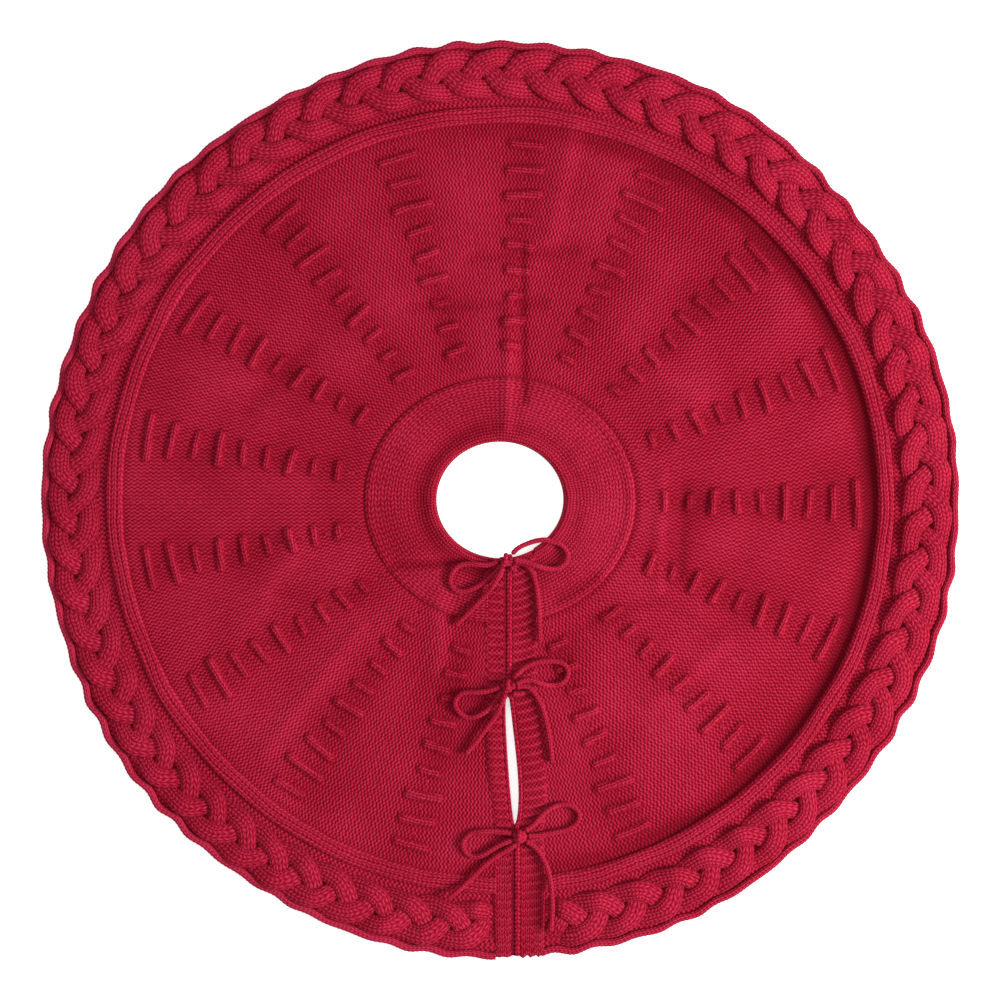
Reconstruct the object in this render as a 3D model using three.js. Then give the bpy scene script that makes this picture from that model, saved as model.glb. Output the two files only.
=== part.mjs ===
// Knitted tree skirt: a round red cloth with a hole for the trunk and a slit from the hole to
// the rim. It is made of a collar, sixteen knitted gores, a double welt, a cable border and a
// rolled edge trim. Two placket bands line the slit, and three bows tie it shut.
// Millimetres, +Z up, standing on z = 0. The slit is at the front, towards -Y. Angles are in
// degrees from the front, turning through +X (the right side) when seen from above.
import * as THREE from "three";

// ---- driving dimensions ----
const holeHalfWidth = 84.5; // the trunk hole is a little wider than it is deep
const holeHalfDepth = 77.5;
const collarSideWidth = 96.5;
const collarFrontWidth = 86.5;
const goreLength = 322; // from the collar's side to the welt
const weltWidth = 20;
const cableBorderWidth = 77.6;
const edgeTrimWidth = 8.2;
const seamGap = 0.4; // between neighbouring knitted pieces

const goreCount = 16;
const flapGores = 3; // gores in each front flap
const firstGoreAngle = 21.2; // middle of the first gore
const gorePitch = 21.62;
const spreadOnce = 2.9; // the cloth lies a little more open on the right than on the left
const spreadTwice = 1.56;
const facetsPerGore = 4;

const collarThickness = 8;
const goreThickness = 7;
const weltThickness = 10;
const cableThickness = 15;
const edgeTrimThickness = 10;
const placketThickness = 9;
const slitEdgeThickness = 10;
const softEdge = 1.6; // rounding along the edges of the knitted pieces
const cableSoftEdge = 4;

const slitShiftAtHole = 9.5; // the slit runs right of the centre line
const slitShiftAtRim = 20;
const slitBendFrom = 240; // distances from the centre between which it moves over
const slitBendTo = 440;
const slitPullFrom = 262; // between the two lower bows the slit gapes a little
const slitPullTo = 438;
const slitClosedGap = 0.6;
const slitOpenGap = 11;
const slitEdgeWidth = 5;
const placketWidth = { right: 34, left: 24 };
const slitStep = 22; // between the points along the slit
const cornerClearance = 9; // no point of an outline comes nearer to its corner

const cordDiameter = 7;
const cordSides = 8;
const cordStep = 2.4; // tube length per step, in cord diameters
const restGap = 0.4; // between a cord and what it lies on
const knotHalfWidth = 9;
const knotHalfHeight = 7.5;

// ---- sizes that follow ----
const collarHalfWidth = holeHalfWidth + collarSideWidth;
const collarHalfDepth = holeHalfDepth + collarFrontWidth;
const panelRadius = collarHalfWidth + goreLength;
const weltRadius = panelRadius + seamGap;
const cableRadius = weltRadius + weltWidth + seamGap;
const trimRadius = cableRadius + cableBorderWidth + seamGap;
const skirtRadius = trimRadius + edgeTrimWidth;

// ---- colours of the yarn ----
const woolRed = new THREE.MeshStandardMaterial({ color: 0xb5122f, roughness: 0.92, metalness: 0 });
const bandRed = new THREE.MeshStandardMaterial({ color: 0xa01029, roughness: 0.95, metalness: 0 });
const cordRed = new THREE.MeshStandardMaterial({ color: 0xc01a3a, roughness: 0.85, metalness: 0 });

const skirt = new THREE.Group();

function add(name, geometry, material, parent = skirt) {
  const mesh = new THREE.Mesh(geometry, material);
  mesh.name = name;
  parent.add(mesh);
  return mesh;
}

// ---- places on the cloth ----
const radians = THREE.MathUtils.degToRad;
const degrees = THREE.MathUtils.radToDeg;

function polar(radius, angle) {
  return new THREE.Vector2(radius * Math.sin(radians(angle)), -radius * Math.cos(radians(angle)));
}

// The edge between gore number `edge` and the next one; fractions lie inside a gore.
function goreEdge(edge) {
  const turn = (Math.PI * edge) / goreCount;
  const even = firstGoreAngle + gorePitch * (edge - 0.5);
  return even + spreadOnce * Math.sin(turn) + spreadTwice * Math.sin(2 * turn);
}

// The facets of every ring bend at the same angles, so their seams stay even.
const facetAngles = [];
for (let i = -facetsPerGore; i <= (goreCount + 1) * facetsPerGore; i++) {
  facetAngles.push(goreEdge(i / facetsPerGore));
}

function ellipse(halfWidth, halfDepth) {
  return (angle) => {
    const across = Math.sin(radians(angle)) / halfWidth;
    const along = Math.cos(radians(angle)) / halfDepth;
    return 1 / Math.hypot(across, along);
  };
}

const circle = (radius) => () => radius;
const holeRim = ellipse(holeHalfWidth, holeHalfDepth);
const collarRim = ellipse(collarHalfWidth, collarHalfDepth);
const goreFoot = ellipse(collarHalfWidth + seamGap, collarHalfDepth + seamGap);

// ---- the slit ----
function slitShift(distance) {
  const along = THREE.MathUtils.smoothstep(distance, slitBendFrom, slitBendTo);
  return slitShiftAtHole + (slitShiftAtRim - slitShiftAtHole) * along;
}

function slitHalfGap(distance) {
  const along = (distance - slitPullFrom) / (slitPullTo - slitPullFrom);
  const gape = along > 0 && along < 1 ? Math.sin(Math.PI * along) ** 2 : 0;
  return (slitClosedGap + (slitOpenGap - slitClosedGap) * gape) / 2;
}

// The angle at which a line `offset` beside the slit's lip crosses a radius. side is 1 on the
// right of the slit and -1 on the left.
function slitAngle(radius, side, offset) {
  let x = 0;
  for (let i = 0; i < 6; i++) {
    const distance = Math.sqrt(radius * radius - x * x);
    x = slitShift(distance) + side * (slitHalfGap(distance) + offset);
  }
  return degrees(Math.asin(x / radius));
}

const slitRadii = [];
for (let r = holeHalfDepth; r < skirtRadius; r += slitStep) slitRadii.push(r);

// ---- outlines ----
// An end of a ring piece: a cut along a radius, or a line along the slit.
function radialEnd(angle, side) {
  return { curved: false, at: (radius) => angle + degrees((side * seamGap) / 2 / radius) };
}

function slitEnd(side, offset) {
  const turn = side > 0 ? 0 : 360;
  return { curved: true, at: (radius) => turn + slitAngle(radius, side, offset) };
}

// The angle where an end meets a rim whose radius changes with the angle.
function meets(end, rim) {
  return end.at(rim(end.at(rim(0))));
}

function rimPoints(rim, start, finish) {
  const from = meets(start, rim);
  const to = meets(finish, rim);
  const clear = degrees(cornerClearance / rim(from));
  const between = facetAngles.filter((angle) => angle > from + clear && angle < to - clear);
  return [from, ...between, to].map((angle) => polar(rim(angle), angle));
}

function endPoints(end, innerRim, outerRim) {
  if (!end.curved) return [];
  const low = innerRim(meets(end, innerRim)) + cornerClearance;
  const high = outerRim(meets(end, outerRim)) - cornerClearance;
  const between = slitRadii.filter((radius) => radius > low && radius < high);
  return between.map((radius) => polar(radius, end.at(radius)));
}

function ringOutline(innerRim, outerRim, start, finish) {
  return [
    ...rimPoints(innerRim, start, finish),
    ...endPoints(finish, innerRim, outerRim),
    ...rimPoints(outerRim, start, finish).reverse(),
    ...endPoints(start, innerRim, outerRim).reverse(),
  ];
}

// A band beside the slit, from the hole's edge to the skirt's rim.
function slitBandOutline(side, near, far) {
  const line = (offset) => {
    const end = slitEnd(side, offset);
    const points = endPoints(end, holeRim, circle(skirtRadius));
    const first = polar(holeRim(meets(end, holeRim)), meets(end, holeRim));
    return [first, ...points, polar(skirtRadius, end.at(skirtRadius))];
  };
  return [...line(near), ...line(far).reverse()];
}

// A flat knitted piece of even thickness with rounded edges.
function knitSlab(outline, thickness, edge = softEdge) {
  const geometry = new THREE.ExtrudeGeometry(new THREE.Shape(outline), {
    depth: thickness - 2 * edge,
    bevelThickness: edge,
    bevelSize: edge,
    bevelOffset: -edge,
    bevelSegments: 1,
  });
  return geometry.translate(0, 0, edge);
}

// ---- gores ----
const bandOffset = (hand) => slitEdgeWidth + seamGap + placketWidth[hand] + seamGap;
const rightPlacketSide = slitEnd(1, bandOffset("right"));
const leftPlacketSide = slitEnd(-1, bandOffset("left"));

for (let k = 1; k <= goreCount; k++) {
  const start = k === 1 ? rightPlacketSide : radialEnd(goreEdge(k - 1), 1);
  const finish = k === goreCount ? leftPlacketSide : radialEnd(goreEdge(k), -1);
  const outline = ringOutline(goreFoot, circle(panelRadius), start, finish);
  add("gore_" + String(k).padStart(2, "0"), knitSlab(outline, goreThickness), woolRed);
}

// ---- collar, welt, cable border and edge trim ----
// Each runs round the skirt in three lengths that part at the two fold lines.
const rightFold = goreEdge(flapGores);
const leftFold = goreEdge(goreCount - flapGores);
const lengths = {
  right: [rightPlacketSide, radialEnd(rightFold, -1)],
  back: [radialEnd(rightFold, 1), radialEnd(leftFold, -1)],
  left: [radialEnd(leftFold, 1), leftPlacketSide],
};

for (const [place, [start, finish]] of Object.entries(lengths)) {
  const ring = (innerRim, outerRim) => ringOutline(innerRim, outerRim, start, finish);
  const collar = ring(holeRim, collarRim);
  const welt = ring(circle(weltRadius), circle(weltRadius + weltWidth));
  const cable = ring(circle(cableRadius), circle(cableRadius + cableBorderWidth));
  const trim = ring(circle(trimRadius), circle(skirtRadius));
  add("collar_" + place, knitSlab(collar, collarThickness), woolRed);
  add("welt_" + place, knitSlab(welt, weltThickness), bandRed);
  add("cable_border_" + place, knitSlab(cable, cableThickness, cableSoftEdge), woolRed);
  add("edge_trim_" + place, knitSlab(trim, edgeTrimThickness), bandRed);
}

// ---- plackets and slit edges ----
for (const [hand, side] of [["right", 1], ["left", -1]]) {
  const edge = slitBandOutline(side, 0, slitEdgeWidth);
  const inside = slitEdgeWidth + seamGap;
  const band = slitBandOutline(side, inside, inside + placketWidth[hand]);
  add("slit_edge_" + hand, knitSlab(edge, slitEdgeThickness), cordRed);
  add("placket_" + hand, knitSlab(band, placketThickness), bandRed);
}

// ---- ties ----
// The highest cloth under a cord that passes over (x, y), or just beside it.
function clothTop(x, y) {
  const near = 1.5 * cordDiameter;
  const radius = Math.hypot(x, y);
  const besideSlit = Math.abs(x - slitShift(-y)) - near;
  const hand = x > slitShift(-y) ? "right" : "left";
  const tops = [goreThickness];
  if (radius < collarHalfWidth + near) tops.push(collarThickness);
  if (radius > weltRadius - near) tops.push(weltThickness);
  if (radius > cableRadius - near) tops.push(cableThickness);
  if (y < 0 && besideSlit < bandOffset(hand) + cordDiameter) tops.push(placketThickness);
  if (y < 0 && besideSlit < slitEdgeWidth + slitHalfGap(-y)) tops.push(slitEdgeThickness);
  return Math.max(...tops);
}

// A route is a list of [x, y, lift]: lift is how far the cord is held above the cloth by
// another cord that it passes over.
function cord(route) {
  const places = route.map(([x, y, lift]) => {
    return new THREE.Vector3(x, y, clothTop(x, y) + restGap + cordDiameter / 2 + lift);
  });
  const path = new THREE.CatmullRomCurve3(places, false, "centripetal");
  const section = new THREE.Shape();
  for (let i = 0; i < cordSides; i++) {
    const turn = (2 * Math.PI * i) / cordSides;
    const x = (cordDiameter / 2) * Math.cos(turn);
    const y = (cordDiameter / 2) * Math.sin(turn);
    if (i === 0) section.moveTo(x, y);
    else section.lineTo(x, y);
  }
  const steps = Math.round(path.getLength() / (cordStep * cordDiameter));
  return new THREE.ExtrudeGeometry(section, { steps, extrudePath: path, curveSegments: 1 });
}

const overCord = cordDiameter + restGap;

const bows = {
  top: {
    knot: [8, -79],
    right_loop: [
      [15.5, -72, 0], [24, -64, 0], [36, -58, 0], [49, -54, 0], [60, -53, 0], [69, -55, 0],
      [80, -59, 0], [87, -66, 0], [90, -74, 0], [88, -82, 0], [82, -88, 0], [73, -91.5, 0],
      [61, -90.5, 3], [49, -87, overCord], [38, -83.5, overCord], [27, -80.5, overCord],
      [17.8, -78.5, overCord],
    ],
    right_tail: [
      [18, -81, 0], [26, -83, 0], [34, -86, 0], [40.5, -92, 0], [45, -101, 0], [48, -113, 0],
      [50, -127, 0], [51.5, -141, 0], [52.3, -158, 0], [52.8, -175, 0], [52.8, -190, 0],
    ],
    right_root: [[13, -88, 0], [17, -91.5, 0], [23, -93.5, 0]],
    left_loop: [
      [-1.8, -80, 0], [-10, -85, 0], [-20, -86.5, 0], [-32, -85.5, 0], [-43, -85, 0],
      [-52, -86.5, 0], [-60, -92, 0], [-65, -101, 0], [-65, -112, 0], [-59, -119.5, 0],
      [-49, -121, 0], [-36, -117.5, 0], [-25, -112, 0], [-15, -105, 0], [-6.5, -97, 0],
      [-1, -91, 0], [1.6, -86.6, 0],
    ],
    left_tail: [
      [4.5, -88.3, overCord], [1.5, -95, overCord], [-3, -104, overCord],
      [-9, -113, overCord], [-15.5, -122, 3], [-24, -131, 0], [-33, -141, 0],
      [-42, -150, 0], [-51, -159, 0], [-59, -167, 0],
    ],
  },
  middle: {
    knot: [11, -246],
    right_loop: [
      [17.5, -238.5, 0], [23, -231, 0], [32, -223, 0], [47, -216, 0], [62, -213.5, 0],
      [77, -215, 0], [86.5, -219.5, 0], [90.5, -228, 0], [88.5, -237, 0], [81, -243.5, 0],
      [71, -246, 0], [59, -244.5, 3], [49, -240.5, overCord], [39, -238, overCord],
      [29, -240, overCord], [20.8, -244, overCord],
    ],
    right_tail: [
      [20.5, -248.5, 0], [28, -247, 0], [36, -247.5, 0], [43, -252.5, 0], [49, -261, 0],
      [54.5, -271, 0], [59, -284, 0], [62.5, -299, 0], [65, -314, 0], [67.5, -331, 0],
      [69, -350, 0],
    ],
    right_root: [[15.5, -256, 0], [23, -257, 0], [33, -256.5, 0]],
    left_loop: [
      [1.2, -247.5, 0], [-7, -251, 0], [-18, -254, 0], [-31, -255, 0], [-43, -255, 0],
      [-52, -258, 0], [-58.5, -265, 0], [-59, -274, 0], [-53, -283, 0], [-43, -288.5, 0],
      [-31, -287, 0], [-20, -281, 0], [-10, -272, 0], [-2, -262, 0], [4.2, -253, 0],
    ],
    left_tail: [
      [8, -255.5, overCord], [5.5, -262, overCord], [1.5, -271, overCord],
      [-3, -281, 3], [-9, -291, 0], [-18, -303, 0], [-27, -315, 0], [-36, -326, 0],
      [-46, -338, 0],
    ],
  },
  bottom: {
    knot: [26, -446],
    right_loop: [
      [32.5, -438.5, 0], [41, -434, 0], [50, -425, 0], [58, -416, 0], [68, -408.5, 0],
      [80, -404.5, 0], [93, -405.5, 0], [103, -412, 0], [105.5, -421, 0], [100, -431, 0],
      [88, -438, 0], [74, -441, 0], [60, -443.5, 0], [48, -445, 0], [36, -445.5, 0],
    ],
    right_tail: [
      [33.5, -452.8, 0], [40.5, -456, 0], [49, -463, 0], [56, -473, 0], [61.5, -485, 0],
      [65.5, -499, 0], [68, -515, 0], [69, -532, 0], [68.5, -552, 0], [67, -572, 0],
    ],
    left_loop: [
      [16.5, -443, 0], [9, -441, 0], [-2, -440, 0], [-14, -439.5, 0], [-26, -440, 0],
      [-37, -442, 0], [-45, -448, 0], [-49.5, -457, 0], [-46, -467, 0], [-36, -473.5, 0],
      [-24, -471.5, 0], [-12, -464.5, 0], [0, -457.5, 0], [9, -453.5, 0], [16.8, -450.8, 0],
    ],
    left_tail: [
      [22, -455.5, 0], [15, -461, 0], [4, -467.5, 0], [-7, -474.5, 0], [-19, -483.5, 0],
      [-30, -494, 0], [-42, -505.5, 0], [-54, -516, 0], [-64, -524.5, 0], [-70, -528.5, 0],
    ],
  },
};

for (const [place, { knot, ...routes }] of Object.entries(bows)) {
  const [x, y] = knot;
  const lump = new THREE.SphereGeometry(1, 12, 8);
  lump.rotateX(Math.PI / 2);
  lump.scale(knotHalfWidth, knotHalfWidth, knotHalfHeight);
  const wrap = add("knot_" + place, lump, cordRed);
  wrap.position.set(x, y, slitEdgeThickness + restGap + knotHalfHeight);
  for (const [stretch, route] of Object.entries(routes)) {
    add("tie_" + place + "_" + stretch, cord(route), cordRed);
  }
}

export default skirt;
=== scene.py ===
"""Looks of a knitted tree skirt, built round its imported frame.

Metres, +Z up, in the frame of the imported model: the slit is at the front, towards -Y. Angles are
in degrees from the front, turning through +X, the right side, when seen from above.
"""

import math

import bmesh
import bpy
import numpy as np
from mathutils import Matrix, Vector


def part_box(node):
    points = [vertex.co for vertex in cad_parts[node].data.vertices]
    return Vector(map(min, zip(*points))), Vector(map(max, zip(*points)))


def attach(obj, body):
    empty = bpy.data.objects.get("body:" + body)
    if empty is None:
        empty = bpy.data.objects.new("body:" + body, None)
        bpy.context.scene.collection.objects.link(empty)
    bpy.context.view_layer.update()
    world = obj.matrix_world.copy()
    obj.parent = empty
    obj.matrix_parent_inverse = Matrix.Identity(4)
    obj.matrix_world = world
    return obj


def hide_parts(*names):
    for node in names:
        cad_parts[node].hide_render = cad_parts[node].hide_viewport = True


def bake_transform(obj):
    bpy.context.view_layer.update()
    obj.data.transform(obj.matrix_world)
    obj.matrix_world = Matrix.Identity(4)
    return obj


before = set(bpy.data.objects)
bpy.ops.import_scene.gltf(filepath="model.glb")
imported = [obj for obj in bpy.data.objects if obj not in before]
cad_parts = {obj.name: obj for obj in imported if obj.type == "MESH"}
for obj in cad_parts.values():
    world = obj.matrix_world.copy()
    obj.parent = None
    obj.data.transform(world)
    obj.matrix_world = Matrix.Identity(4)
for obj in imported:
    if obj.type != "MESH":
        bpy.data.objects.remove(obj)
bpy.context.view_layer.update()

# ---- floor, lights and camera ----
# A plain white table top under the skirt. One low soft light rakes over the stitches from the
# right, a wide weak one fills in from above, and the camera looks straight down.
view_width = 4 / 3
eye_height = 2.6
floor_white = (0.9, 0.9, 0.9, 1)
floor_reach = 14
floor_depth = 0.0006  # the table top lies this far under the skirt
floor_glow = 0.55  # the table top is lit from below, so that it stays white in the slit
room_glow = 0.52

bpy.context.scene.view_settings.view_transform = "Standard"

camera = bpy.data.objects.new("camera", bpy.data.cameras.new("camera"))
camera.location = (0, 0, eye_height)
camera.data.sensor_width = 36
camera.data.lens = camera.data.sensor_width * eye_height / view_width
bpy.context.scene.collection.objects.link(camera)
bpy.context.scene.camera = camera

room = bpy.data.worlds.new("room")
bpy.context.scene.world = room
room.use_nodes = True
room.node_tree.nodes["Background"].inputs["Color"].default_value = (1, 0.99, 0.98, 1)
room.node_tree.nodes["Background"].inputs["Strength"].default_value = room_glow


def area_light(name, place, width, power, colour):
    """A square soft light that faces the middle of the skirt."""
    light = bpy.data.objects.new(name, bpy.data.lights.new(name, "AREA"))
    light.data.shape = "SQUARE"
    light.data.size = width
    light.data.energy = power
    light.data.color = colour
    light.location = place
    light.rotation_mode = "QUATERNION"
    light.rotation_quaternion = light.location.to_track_quat("Z", "Y")
    bpy.context.scene.collection.objects.link(light)


area_light("window_light", (3.3, -0.7, 2.1), 1.4, 250, (1, 0.98, 0.96))
area_light("ceiling_light", (-0.4, 0.5, 3.2), 2.4, 26, (0.97, 0.98, 1))


def add_node(tree, kind, inputs=None, **settings):
    """A shader node with its inputs linked where a socket is given, and set where a value is."""
    made = tree.nodes.new(kind)
    for key, value in settings.items():
        setattr(made, key, value)
    for key, value in (inputs or {}).items():
        if isinstance(value, bpy.types.NodeSocket):
            tree.links.new(value, made.inputs[key])
        else:
            made.inputs[key].default_value = value
    return made


def reckon(tree, operation, first, second=0.0):
    """The output of one Math node."""
    return add_node(tree, "ShaderNodeMath", {0: first, 1: second}, operation=operation).outputs[0]


paint = bpy.data.materials.new("white_table_top")
paint.use_nodes = True
grain = add_node(paint.node_tree, "ShaderNodeTexNoise", {"Scale": 6.0, "Detail": 4.0})
shade = add_node(paint.node_tree, "ShaderNodeMapRange", {"To Min": 0.55, "To Max": 0.7})
paint.node_tree.links.new(grain.outputs["Fac"], shade.inputs["Value"])
gloss = paint.node_tree.nodes["Principled BSDF"]
gloss.inputs["Base Color"].default_value = floor_white
gloss.inputs["Emission Color"].default_value = floor_white
gloss.inputs["Emission Strength"].default_value = floor_glow
paint.node_tree.links.new(shade.outputs["Result"], gloss.inputs["Roughness"])

table_top = bmesh.new()
bmesh.ops.create_grid(table_top, x_segments=4, y_segments=4, size=floor_reach)
bmesh.ops.translate(table_top, verts=table_top.verts[:], vec=(0, 0, -floor_depth))
floor = bpy.data.objects.new("floor", bpy.data.meshes.new("floor"))
table_top.to_mesh(floor.data)
table_top.free()
floor.data.materials.append(paint)
bpy.context.scene.collection.objects.link(floor)

# ---- yarn ----
# Soft red wool, several plies thick, that every piece is knitted from. Its colour is painted dark
# crimson deep in the stitches, as painted shade, and lighter and pinker on their crests, as a painted
# highlight where the fuzz catches the light.
yarn_painted_shade = (0.132, 0.001, 0.0075, 1)
yarn_mid = (0.255, 0.0022, 0.0145, 1)
yarn_painted_highlight = (0.41, 0.019, 0.056, 1)
stitch_slip = 0.6  # how unevenly the stitches are drawn, in stitches
v_lean = 0.75  # stitches that a leg of a V climbs from its point to its top
painted_shading_strength = 0.9  # how strongly the painted shading darkens the yarn
speckle_share = 0.9  # how strongly dye and fibres colour it
fuzz_share = 0.35  # height of the fibres beside that of a stitch
relief_strength = 0.7


def shader_group(name, inputs, outputs):
    """An empty node group with its sockets, and its input and output nodes."""
    tree = bpy.data.node_groups.new(name, "ShaderNodeTree")
    for label, kind in inputs:
        tree.interface.new_socket(name=label, in_out="INPUT", socket_type=kind)
    for label, kind in outputs:
        tree.interface.new_socket(name=label, in_out="OUTPUT", socket_type=kind)
    return tree, tree.nodes.new("NodeGroupInput"), tree.nodes.new("NodeGroupOutput")


def stitch_counts(tree, entry):
    """The wale and the course that a group's Stitches input counts."""
    apart = add_node(tree, "ShaderNodeSeparateXYZ", {0: entry.outputs["Stitches"]})
    return apart.outputs["X"], apart.outputs["Y"]


# The plain side: columns of V stitches, one wale wide.
plain_side, entry, leave = shader_group(
    "plain_side", [("Stitches", "NodeSocketVector")], [("Height", "NodeSocketFloat")]
)
wale, course = stitch_counts(plain_side, entry)
middle = reckon(plain_side, "SUBTRACT", reckon(plain_side, "FRACT", wale), 0.5)
across = reckon(plain_side, "MULTIPLY", reckon(plain_side, "ABSOLUTE", middle), 2.0)
leg = reckon(plain_side, "SINE", reckon(plain_side, "MULTIPLY", across, math.pi))
leg = reckon(plain_side, "POWER", reckon(plain_side, "MAXIMUM", leg, 0.0), 0.6)
climb = reckon(plain_side, "SUBTRACT", course, reckon(plain_side, "MULTIPLY", across, v_lean))
swell = reckon(plain_side, "MULTIPLY", reckon(plain_side, "FRACT", climb), math.pi)
swell = reckon(plain_side, "MULTIPLY", reckon(plain_side, "SINE", swell), 0.7)
height = reckon(plain_side, "MULTIPLY", leg, reckon(plain_side, "ADD", swell, 0.3))
plain_side.links.new(height, leave.inputs["Height"])

# The purl side: rows of small arches, head up and head down by turns.
purl_side, entry, leave = shader_group(
    "purl_side", [("Stitches", "NodeSocketVector")], [("Height", "NodeSocketFloat")]
)
wale, course = stitch_counts(purl_side, entry)
along_row = reckon(purl_side, "COSINE", reckon(purl_side, "MULTIPLY", wale, math.tau))
bowed = reckon(purl_side, "SUBTRACT", course, reckon(purl_side, "MULTIPLY", along_row, 0.1))
up_rows = reckon(purl_side, "COSINE", reckon(purl_side, "MULTIPLY", bowed, math.tau))
arches = reckon(purl_side, "MULTIPLY", along_row, up_rows)
height = reckon(purl_side, "ADD", reckon(purl_side, "MULTIPLY", arches, 0.5), 0.5)
purl_side.links.new(height, leave.inputs["Height"])

# The wool itself: fine fibres, and patches where it took the dye a little more or less.
wool, entry, leave = shader_group(
    "wool",
    [("Place", "NodeSocketVector")],
    [("Fibre", "NodeSocketFloat"), ("Tone", "NodeSocketFloat")],
)
place = entry.outputs["Place"]
fibres = add_node(wool, "ShaderNodeTexNoise", {"Vector": place, "Scale": 1400.0, "Detail": 3.0})
plies = add_node(wool, "ShaderNodeTexNoise", {"Vector": place, "Scale": 420.0, "Detail": 2.0})
both = reckon(wool, "ADD", fibres.outputs["Fac"], plies.outputs["Fac"])
wool.links.new(reckon(wool, "MULTIPLY", both, 0.5), leave.inputs["Fibre"])
patches = add_node(wool, "ShaderNodeTexNoise", {"Vector": place, "Scale": 9.0, "Detail": 3.0})
flecks = add_node(wool, "ShaderNodeTexNoise", {"Vector": place, "Scale": 190.0, "Detail": 2.0})
both = reckon(wool, "ADD", patches.outputs["Fac"], flecks.outputs["Fac"])
wool.links.new(reckon(wool, "MULTIPLY", both, 0.5), leave.inputs["Tone"])


def place_group(tree, group, name, socket):
    """A group node whose one input is linked."""
    made = tree.nodes.new("ShaderNodeGroup")
    made.node_tree = group
    tree.links.new(socket, made.inputs[name])
    return made


def yarn_material(name, stitches, bump=0.0011, brightness=1.0):
    """Wool knitted plain side out, purl side out, or purl with raised plain dashes."""
    made = bpy.data.materials.new(name)
    made.use_nodes = True
    tree = made.node_tree
    surface = tree.nodes["Principled BSDF"]
    counts = add_node(tree, "ShaderNodeUVMap", uv_map="stitches").outputs["UV"]
    where = tree.nodes.new("ShaderNodeTexCoord").outputs["Object"]
    uneven = add_node(tree, "ShaderNodeTexNoise", {"Vector": where, "Scale": 85.0, "Detail": 2.0})
    slip = add_node(
        tree, "ShaderNodeVectorMath",
        {0: uneven.outputs["Color"], 1: (0.5, 0.5, 0.5)}, operation="SUBTRACT",
    )
    slip = add_node(
        tree, "ShaderNodeVectorMath",
        {0: slip.outputs[0], 1: (stitch_slip,) * 3}, operation="MULTIPLY",
    )
    slipped = add_node(
        tree, "ShaderNodeVectorMath", {0: counts, 1: slip.outputs[0]}, operation="ADD"
    )
    counts = slipped.outputs[0]
    heights = {
        side: place_group(tree, group, "Stitches", counts).outputs["Height"]
        for side, group in (("plain", plain_side), ("purl", purl_side))
        if side in stitches
    }
    height = heights[stitches[0]]
    if len(stitches) > 1:
        dash = add_node(tree, "ShaderNodeAttribute", attribute_name="plain_share").outputs["Fac"]
        mixed = add_node(tree, "ShaderNodeMix", {0: dash, 2: height, 3: heights[stitches[1]]})
        height = mixed.outputs[0]
    fibre = place_group(tree, wool, "Place", where)
    # painted shading from each piece: painted shade in hollows and on shadowed sides, and painted light
    # where it is below 0
    painted_shading = add_node(tree, "ShaderNodeAttribute", attribute_name="painted_shading").outputs["Fac"]
    lit = reckon(tree, "SUBTRACT", height, reckon(tree, "MULTIPLY", painted_shading, painted_shading_strength))
    speckle = reckon(tree, "SUBTRACT", fibre.outputs["Tone"], 0.5)
    lit = reckon(tree, "ADD", lit, reckon(tree, "MULTIPLY", speckle, speckle_share))
    # The ramp paints shade where the stitches are low and the painted shading is dark, and a painted
    # highlight on the crests.
    ramp = add_node(tree, "ShaderNodeValToRGB", {"Fac": lit})
    ramp.color_ramp.elements[0].position = 0.0
    ramp.color_ramp.elements[0].color = yarn_painted_shade
    ramp.color_ramp.elements[1].position = 1.0
    ramp.color_ramp.elements[1].color = tuple(brightness * c for c in yarn_painted_highlight[:3]) + (1,)
    ramp.color_ramp.elements.new(0.42).color = tuple(brightness * c for c in yarn_mid[:3]) + (1,)
    tree.links.new(ramp.outputs["Color"], surface.inputs["Base Color"])
    rough = add_node(tree, "ShaderNodeMapRange", {"To Min": 0.95, "To Max": 0.72})
    tree.links.new(height, rough.inputs["Value"])
    tree.links.new(rough.outputs["Result"], surface.inputs["Roughness"])
    surface.inputs["Specular IOR Level"].default_value = 0.06
    surface.inputs["Sheen Weight"].default_value = 0.05
    surface.inputs["Sheen Roughness"].default_value = 0.5
    surface.inputs["Sheen Tint"].default_value = (1, 0.3, 0.4, 1)
    fuzz = reckon(tree, "MULTIPLY", fibre.outputs["Fibre"], fuzz_share)
    relief = reckon(tree, "ADD", height, fuzz)
    normal = add_node(
        tree, "ShaderNodeBump",
        {"Strength": relief_strength, "Distance": bump, "Height": relief},
    )
    tree.links.new(normal.outputs["Normal"], surface.inputs["Normal"])
    return made


def plain_relief(wale, course):
    """Height, 0 to 1, of plain knit: columns of V stitches, one wale wide."""
    across = np.abs(np.mod(wale, 1) - 0.5) * 2
    leg = np.maximum(np.sin(np.pi * across), 0) ** 0.6
    return leg * (0.3 + 0.7 * np.sin(np.pi * np.mod(course - v_lean * across, 1)))


def purl_relief(wale, course):
    """Height, 0 to 1, of purl knit: rows of small arches, head up and head down by turns."""
    along_row = np.cos(math.tau * wale)
    return 0.5 + 0.5 * along_row * np.cos(math.tau * (course - 0.1 * along_row))


def ease(value, low, high):
    """0 below low, 1 above high and smooth between them."""
    share = np.clip((value - low) / (high - low), 0, 1)
    return share * share * (3 - 2 * share)


def swell_at(value, middle, reach):
    """1 where value is middle, and fading to 0 on both sides."""
    return np.exp(-(((value - middle) / reach) ** 2))


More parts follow.
